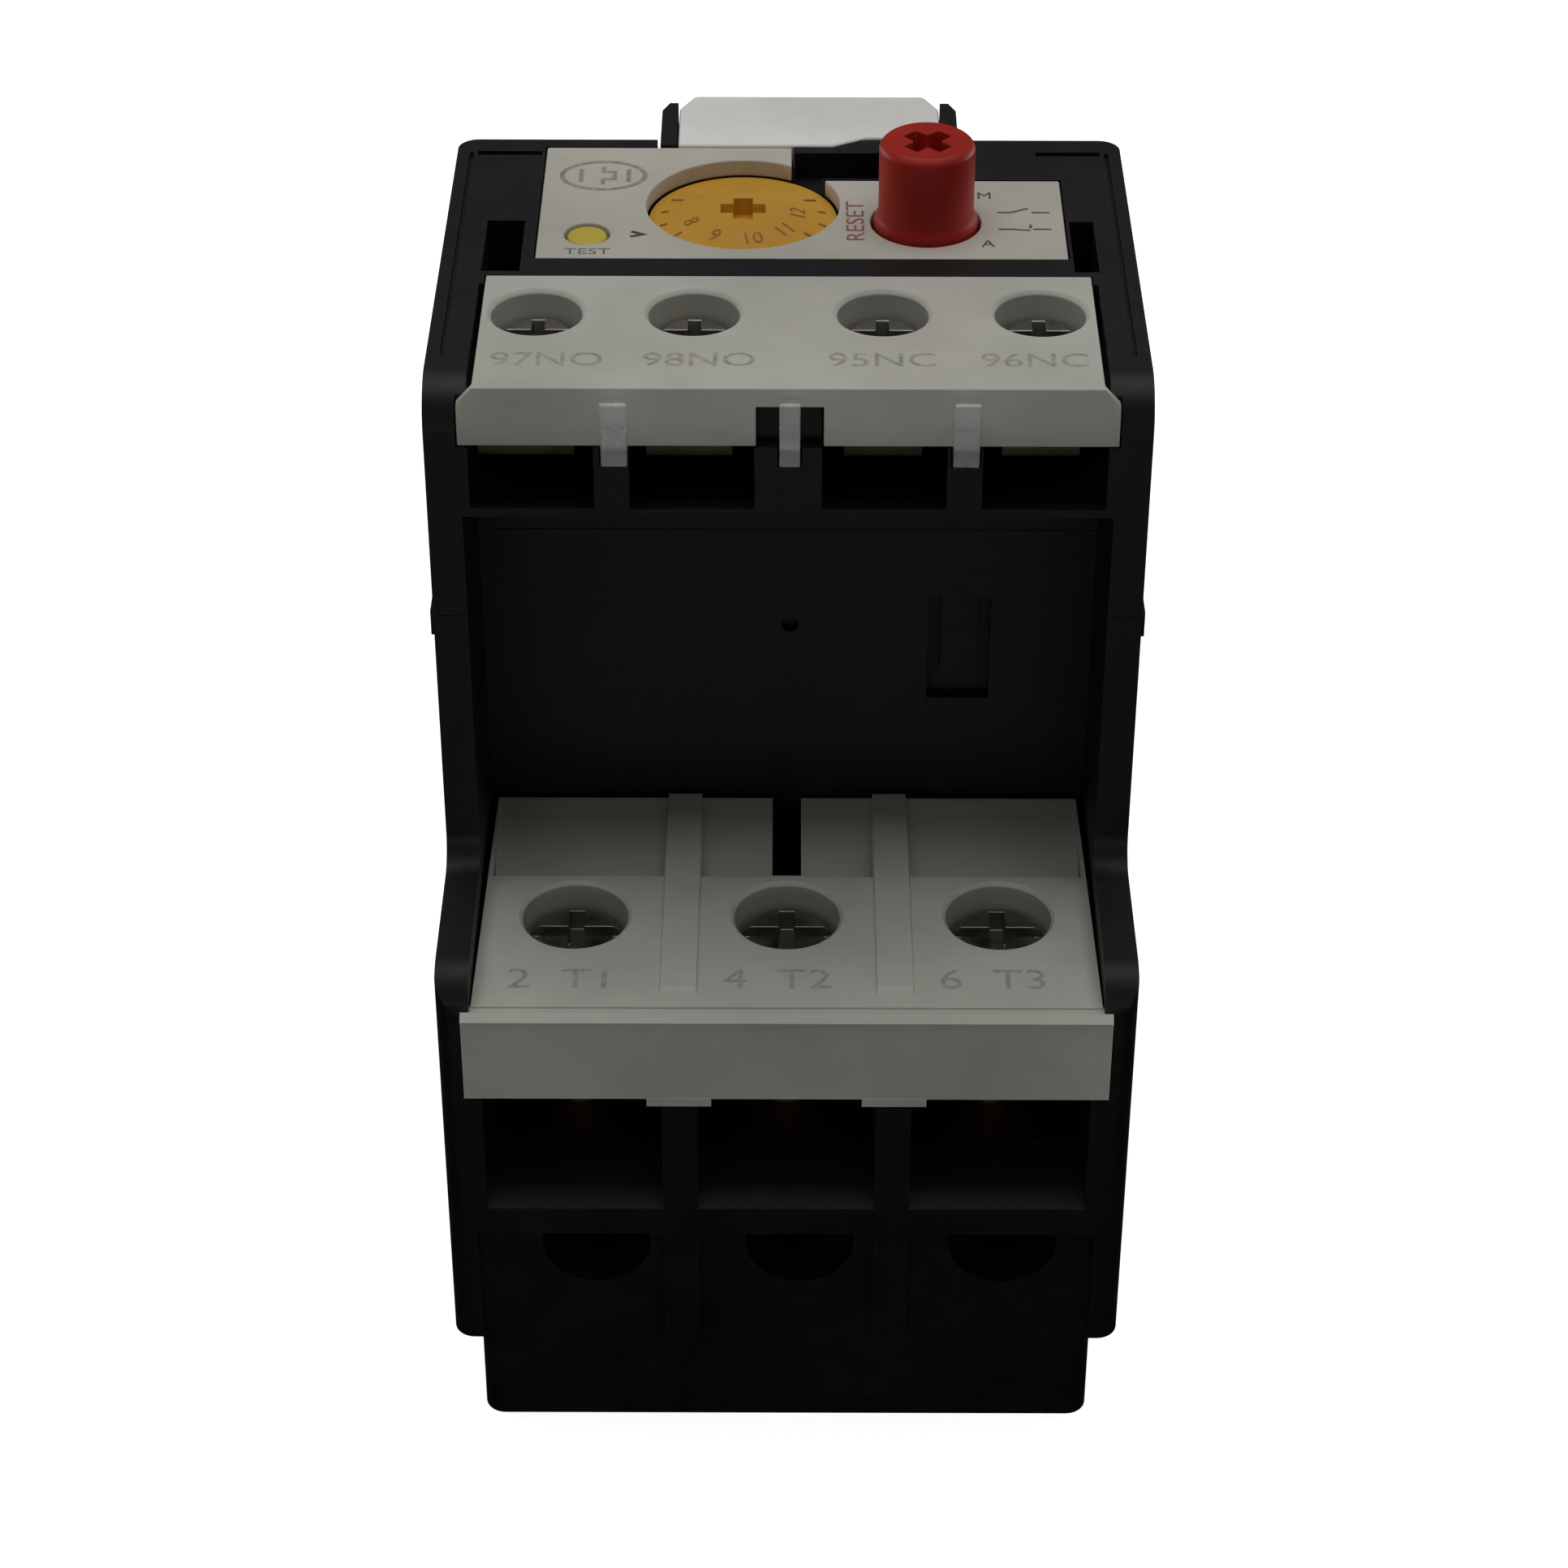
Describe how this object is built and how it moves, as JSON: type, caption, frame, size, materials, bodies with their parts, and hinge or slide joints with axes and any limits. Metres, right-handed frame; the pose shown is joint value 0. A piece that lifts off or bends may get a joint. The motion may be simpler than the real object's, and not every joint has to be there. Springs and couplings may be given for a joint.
{
  "type": "thermal overload relay",
  "caption": "Three-pole bimetal overload relay with a stepped black housing, grey terminal covers, a recessed setting dial, a push-turn reset knob and a test button.",
  "frame": {"origin": "centre of the flat underside (rest face) of the base", "axes": "+Z from the rest face up to the operator deck, -Y the load side with the wire entries, +Y the contactor side with the line pins, +X to the right when looking along +Y"},
  "size_m": [0.0456, 0.0599, 0.0797],
  "materials": {
    "black_plastic": "fine moulded texture",
    "label_grey": "matt printed plate",
    "cover_grey": "satin moulded",
    "latch_plastic": "semi-clear, smooth",
    "tag_white": "smooth",
    "mechanism_plastic": "moulded",
    "natural_plastic": "moulded",
    "tinned_copper": "tinned, satin",
    "copper": "bare copper",
    "bimetal": "rolled strip",
    "heater_wire": "heat-tinted wire",
    "clamp_steel": "zinc plated",
    "screw_steel": "zinc plated",
    "contact_brass": "stamped brass",
    "pin_steel": "drawn",
    "dial_yellow": "satin moulded",
    "reset_red": "satin moulded",
    "test_yellow": "satin moulded",
    "spring_steel": "drawn wire"
  },
  "bodies": {
    "root": {"rear_housing": "black_plastic", "front_housing": "black_plastic", "label_plate": "label_grey", "aux_terminal_cover": "cover_grey", "cover_latch_1": "latch_plastic", "cover_latch_2": "latch_plastic", "cover_latch_3": "latch_plastic", "power_terminal_cover": "cover_grey", "tag_holder": "black_plastic", "marker_tag": "tag_white", "mechanism_plate": "mechanism_plastic", "line_pin_1": "tinned_copper", "line_pin_2": "tinned_copper", "line_pin_3": "tinned_copper", "load_bar_1": "copper", "load_bar_2": "copper", "load_bar_3": "copper", "bimetal_strip_1": "bimetal", "bimetal_strip_2": "bimetal", "bimetal_strip_3": "bimetal", "heater_winding_1": "heater_wire", "heater_winding_2": "heater_wire", "heater_winding_3": "heater_wire", "aux_terminal_97": "contact_brass", "aux_terminal_98": "contact_brass", "aux_terminal_95": "contact_brass", "aux_terminal_96": "contact_brass", "lever_pin": "pin_steel", "adjuster_pin": "pin_steel", "test_spring": "spring_steel"},
    "dial": {"setting_dial": "dial_yellow"},
    "adjuster": {"adjusting_lever": "natural_plastic"},
    "selector": {"reset_selector": "mechanism_plastic", "reset_spring": "spring_steel"},
    "reset": {"reset_button": "reset_red"},
    "test": {"test_button": "test_yellow"},
    "trip_bar": {"trip_slide": "natural_plastic"},
    "lever": {"trip_lever": "natural_plastic", "compensation_strip": "bimetal"},
    "carrier": {"contact_carrier": "natural_plastic", "no_bridge": "contact_brass", "nc_bridge": "contact_brass"},
    "power_clamp_1": {"power_clamp_1": "clamp_steel"},
    "power_screw_1": {"power_screw_1": "screw_steel"},
    "power_clamp_2": {"power_clamp_2": "clamp_steel"},
    "power_screw_2": {"power_screw_2": "screw_steel"},
    "power_clamp_3": {"power_clamp_3": "clamp_steel"},
    "power_screw_3": {"power_screw_3": "screw_steel"},
    "aux_clamp_97": {"aux_clamp_97": "clamp_steel"},
    "aux_screw_97": {"aux_screw_97": "screw_steel"},
    "aux_clamp_98": {"aux_clamp_98": "clamp_steel"},
    "aux_screw_98": {"aux_screw_98": "screw_steel"},
    "aux_clamp_95": {"aux_clamp_95": "clamp_steel"},
    "aux_screw_95": {"aux_screw_95": "screw_steel"},
    "aux_clamp_96": {"aux_clamp_96": "clamp_steel"},
    "aux_screw_96": {"aux_screw_96": "screw_steel"}
  },
  "joints": [
    {"name": "dial_turn", "type": "hinge", "parent": "root", "child": "dial", "pos_m": [-0.00305, 0.01475, 0.0726], "axis": [0, 0, 1], "range_deg": [-135, 135]},
    {"name": "adjuster_turn", "type": "hinge", "parent": "root", "child": "adjuster", "pos_m": [-0.0125, 0.019, 0.0643], "axis": [0, 0, 1], "range_deg": [-4.5, 4.5]},
    {"name": "reset_select", "type": "hinge", "parent": "root", "child": "selector", "pos_m": [0.00905, 0.0122, 0.065], "axis": [0, 0, 1], "range_deg": [-90, 0]},
    {"name": "reset_push", "type": "slide", "parent": "selector", "child": "reset", "axis": [0, 0, -1], "range_m": [0, 0.0022], "stiffness_N_per_m": 300, "springref_m": -0.001, "deforming": ["reset_spring"]},
    {"name": "test_push", "type": "slide", "parent": "root", "child": "test", "axis": [0, 0, -1], "range_m": [0, 0.0015], "stiffness_N_per_m": 200, "springref_m": -0.001, "deforming": ["test_spring"]},
    {"name": "trip_travel", "type": "slide", "parent": "root", "child": "trip_bar", "axis": [1, 0, 0], "range_m": [0, 0.002]},
    {"name": "lever_turn", "type": "hinge", "parent": "root", "child": "lever", "pos_m": [-0.015, 0.0175, 0.0587], "axis": [0, 0, 1], "range_deg": [0, 18.4]},
    {"name": "carrier_travel", "type": "slide", "parent": "root", "child": "carrier", "axis": [0, 1, 0], "range_m": [0, 0.0016]},
    {"name": "power_clamp_1_travel", "type": "slide", "parent": "root", "child": "power_clamp_1", "axis": [0, 0, 1], "range_m": [-0.0044, 0]},
    {"name": "power_screw_1_turn", "type": "hinge", "parent": "power_clamp_1", "child": "power_screw_1", "pos_m": [-0.014, -0.0139, 0.032], "axis": [0, 0, 1], "range_deg": [-2265, 0]},
    {"name": "power_clamp_2_travel", "type": "slide", "parent": "root", "child": "power_clamp_2", "axis": [0, 0, 1], "range_m": [-0.0044, 0]},
    {"name": "power_screw_2_turn", "type": "hinge", "parent": "power_clamp_2", "child": "power_screw_2", "pos_m": [0, -0.0139, 0.032], "axis": [0, 0, 1], "range_deg": [-2265, 0]},
    {"name": "power_clamp_3_travel", "type": "slide", "parent": "root", "child": "power_clamp_3", "axis": [0, 0, 1], "range_m": [-0.0044, 0]},
    {"name": "power_screw_3_turn", "type": "hinge", "parent": "power_clamp_3", "child": "power_screw_3", "pos_m": [0.014, -0.0139, 0.032], "axis": [0, 0, 1], "range_deg": [-2265, 0]},
    {"name": "aux_clamp_97_travel", "type": "slide", "parent": "root", "child": "aux_clamp_97", "axis": [0, 0, 1], "range_m": [-0.0017, 0]},
    {"name": "aux_screw_97_turn", "type": "hinge", "parent": "aux_clamp_97", "child": "aux_screw_97", "pos_m": [-0.016, -0.0003, 0.0715], "axis": [0, 0, 1], "range_deg": [-1022, 0]},
    {"name": "aux_clamp_98_travel", "type": "slide", "parent": "root", "child": "aux_clamp_98", "axis": [0, 0, 1], "range_m": [-0.0017, 0]},
    {"name": "aux_screw_98_turn", "type": "hinge", "parent": "aux_clamp_98", "child": "aux_screw_98", "pos_m": [-0.006, -0.0003, 0.0715], "axis": [0, 0, 1], "range_deg": [-1022, 0]},
    {"name": "aux_clamp_95_travel", "type": "slide", "parent": "root", "child": "aux_clamp_95", "axis": [0, 0, 1], "range_m": [-0.0017, 0]},
    {"name": "aux_screw_95_turn", "type": "hinge", "parent": "aux_clamp_95", "child": "aux_screw_95", "pos_m": [0.006, -0.0003, 0.0715], "axis": [0, 0, 1], "range_deg": [-1022, 0]},
    {"name": "aux_clamp_96_travel", "type": "slide", "parent": "root", "child": "aux_clamp_96", "axis": [0, 0, 1], "range_m": [-0.0017, 0]},
    {"name": "aux_screw_96_turn", "type": "hinge", "parent": "aux_clamp_96", "child": "aux_screw_96", "pos_m": [0.016, -0.0003, 0.0715], "axis": [0, 0, 1], "range_deg": [-1022, 0]}
  ],
  "couplings": [
    {"joint": "adjuster_turn", "follows": "dial_turn", "ratio": 0.03125},
    {"joint": "lever_turn", "follows": "trip_travel", "rad_per_m": 158.73},
    {"joint": "carrier_travel", "follows": "trip_travel", "ratio": 0.7937},
    {"joint": "power_screw_1_turn", "follows": "power_clamp_1_travel", "rad_per_m": 8976},
    {"joint": "power_screw_2_turn", "follows": "power_clamp_2_travel", "rad_per_m": 8976},
    {"joint": "power_screw_3_turn", "follows": "power_clamp_3_travel", "rad_per_m": 8976},
    {"joint": "aux_screw_97_turn", "follows": "aux_clamp_97_travel", "rad_per_m": 10472},
    {"joint": "aux_screw_98_turn", "follows": "aux_clamp_98_travel", "rad_per_m": 10472},
    {"joint": "aux_screw_95_turn", "follows": "aux_clamp_95_travel", "rad_per_m": 10472},
    {"joint": "aux_screw_96_turn", "follows": "aux_clamp_96_travel", "rad_per_m": 10472}
  ]
}
